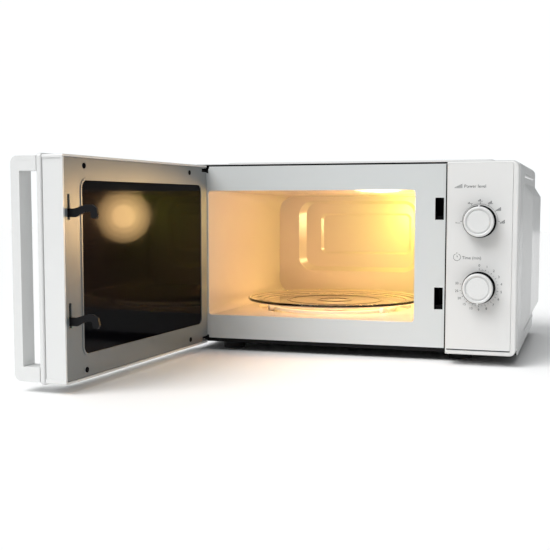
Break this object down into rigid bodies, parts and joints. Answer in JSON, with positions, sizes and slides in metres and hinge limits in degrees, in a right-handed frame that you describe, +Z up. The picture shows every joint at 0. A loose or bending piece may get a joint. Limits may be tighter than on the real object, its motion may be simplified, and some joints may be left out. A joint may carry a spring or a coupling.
{
  "type": "microwave oven",
  "caption": "Countertop microwave oven with two rotary dials, a side-hung door standing open on hook latches and a glass turntable.",
  "frame": {"origin": "on the surface the feet stand on, under the middle of the case's front", "axes": "+X to the right seen from the front, +Y towards the back, +Z up; the door stands open towards -Y"},
  "size_m": [0.5105, 0.6725, 0.2585],
  "materials": {
    "case_paint": "semi-gloss white enamel on sheet steel",
    "frame_paint": "satin pale grey-white enamel",
    "base_paint": "black paint",
    "zinc_sheet": "zinc-plated sheet",
    "cavity_enamel": "glossy warm beige oven enamel",
    "white_plastic": "satin white moulding",
    "panel_plastic": "fine-grained white moulding",
    "knob_plastic": "pale grey-white satin moulding",
    "plate_grey": "satin mid-grey",
    "black_glass": "black glossy pane",
    "smoked_glass": "smoked front pane",
    "clear_glass": "clear pressed glass",
    "bulb_glass": "clear bulb",
    "black_plastic": "black moulding",
    "steel": "bright plated steel",
    "spring_steel": "spring wire",
    "rubber": "soft black rubber",
    "laminations": "varnished laminations",
    "copper": "enamelled copper wire",
    "aluminium": "plain aluminium",
    "mica": "mica sheet",
    "grey_plastic": "grey moulding",
    "natural_plastic": "natural white moulding",
    "board": "phenolic board"
  },
  "bodies": {
    "oven": {"outer_case": "case_paint", "base_plate": "base_paint", "front_frame": "frame_paint", "back_panel": "zinc_sheet", "feet": "rubber", "foot_screws": "steel", "oven_cavity": "cavity_enamel", "waveguide_cover": "mica", "waveguide": "zinc_sheet", "magnetron_yoke": "zinc_sheet", "magnetron_tube": "copper", "magnetron_fins": "aluminium", "thermal_cutout": "black_plastic", "transformer_core": "laminations", "transformer_windings": "copper", "hv_capacitor": "aluminium", "capacitor_clamp": "zinc_sheet", "hv_diode": "black_plastic", "fan_shroud": "black_plastic", "fan_motor": "laminations", "lamp_holder": "zinc_sheet", "lamp_bulb": "bulb_glass", "filter_board": "board", "cord_gland": "black_plastic", "case_screws": "steel", "turntable_motor": "zinc_sheet", "latch_board": "black_plastic", "interlock_switches": "grey_plastic", "control_housing": "panel_plastic", "control_fascia": "panel_plastic", "power_switch": "grey_plastic", "timer_unit": "grey_plastic", "timer_bell": "steel", "hinge_brackets": "steel", "hinge_pins": "steel"},
    "door": {"door_frame": "white_plastic", "door_bushes": "natural_plastic", "inner_plate": "plate_grey", "inner_window": "black_glass", "choke_panel": "zinc_sheet", "door_screws": "base_paint", "door_cover": "white_plastic", "door_glass": "smoked_glass", "handle_inner": "white_plastic", "handle_outer": "white_plastic", "latch_spring": "spring_steel"},
    "latch": {"latch_bar": "black_plastic"},
    "power_dial": {"power_knob": "knob_plastic", "power_knob_cap": "knob_plastic", "power_shaft": "steel"},
    "timer_dial": {"timer_knob": "knob_plastic", "timer_knob_cap": "knob_plastic", "timer_shaft": "steel"},
    "drive": {"turntable_coupler": "natural_plastic"},
    "tray": {"glass_tray": "clear_glass"},
    "ring": {"roller_ring": "natural_plastic"},
    "roller_one": {"roller_1": "natural_plastic"},
    "roller_two": {"roller_2": "natural_plastic"},
    "roller_three": {"roller_3": "natural_plastic"},
    "fan": {"fan_blade": "natural_plastic"}
  },
  "joints": [
    {"name": "door_hinge", "type": "hinge", "parent": "oven", "child": "door", "pos_m": [-0.2058, -0.0132, 0.132], "axis": [0, 0, 1], "range_deg": [0, 93.5]},
    {"name": "latch_slide", "type": "slide", "parent": "door", "child": "latch", "axis": [0, 0, 1], "range_m": [0, 0.006], "stiffness_N_per_m": 300, "springref_m": -0.004, "deforming": ["latch_spring"]},
    {"name": "power_turn", "type": "hinge", "parent": "oven", "child": "power_dial", "pos_m": [0.1745, -0.0306, 0.1797], "axis": [0, 1, 0], "range_deg": [-90, 90]},
    {"name": "timer_turn", "type": "hinge", "parent": "oven", "child": "timer_dial", "pos_m": [0.1745, -0.0306, 0.0984], "axis": [0, 1, 0], "range_deg": [-180, 100]},
    {"name": "drive_spin", "type": "hinge", "parent": "oven", "child": "drive", "pos_m": [-0.053, 0.143, 0.0445], "axis": [0, 0, 1], "continuous": true},
    {"name": "tray_lift", "type": "slide", "parent": "drive", "child": "tray", "axis": [0, 0, 1], "range_m": [0, 0.02]},
    {"name": "ring_spin", "type": "hinge", "parent": "oven", "child": "ring", "pos_m": [-0.053, 0.143, 0.05065], "axis": [0, 0, 1], "continuous": true},
    {"name": "fan_spin", "type": "hinge", "parent": "oven", "child": "fan", "pos_m": [0.17, 0.308, 0.162], "axis": [0, 1, 0], "continuous": true},
    {"name": "roller_one_spin", "type": "hinge", "parent": "ring", "child": "roller_one", "pos_m": [-0.053, 0.2385, 0.05065], "axis": [0, 1, 0], "continuous": true},
    {"name": "roller_two_spin", "type": "hinge", "parent": "ring", "child": "roller_two", "pos_m": [-0.1357, 0.09525, 0.05065], "axis": [-0.866, -0.5, 0], "continuous": true},
    {"name": "roller_three_spin", "type": "hinge", "parent": "ring", "child": "roller_three", "pos_m": [0.0297, 0.09525, 0.05065], "axis": [0.866, -0.5, 0], "continuous": true}
  ],
  "couplings": [
    {"joint": "ring_spin", "follows": "drive_spin", "ratio": 0.5}
  ]
}
